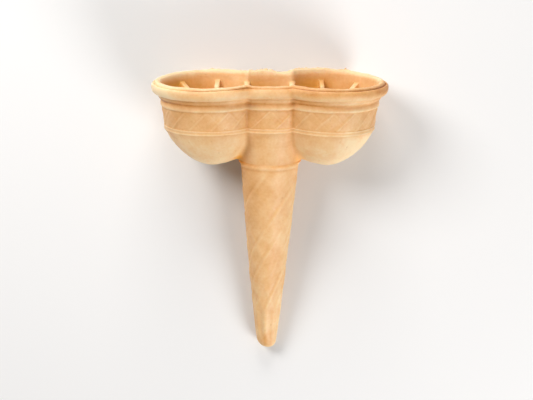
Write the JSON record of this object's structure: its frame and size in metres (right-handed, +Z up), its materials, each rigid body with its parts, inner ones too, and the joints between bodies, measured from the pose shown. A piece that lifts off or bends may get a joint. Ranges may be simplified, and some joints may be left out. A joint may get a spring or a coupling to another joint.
{
  "type": "empty twin-cup wafer ice cream cone",
  "caption": "Empty moulded wafer cone for ice cream: round cups side by side on a tapered hollow stem, lying on its back, with a waffle pattern and inner fins.",
  "frame": {"origin": "under the middle of the cone as it lies, on the surface that it rests on", "axes": "+X from the left cup to the right cup, +Y along the cone from the stem's tip to the open rim, +Z up, out of the front side"},
  "size_m": [0.1008, 0.1234, 0.0496],
  "materials": {
    "wafer": "dry baked wafer, matt with a faint sheen, golden with toasted tip and edges"
  },
  "bodies": {
    "root": {"wafer_cone": "wafer"}
  },
  "joints": []
}
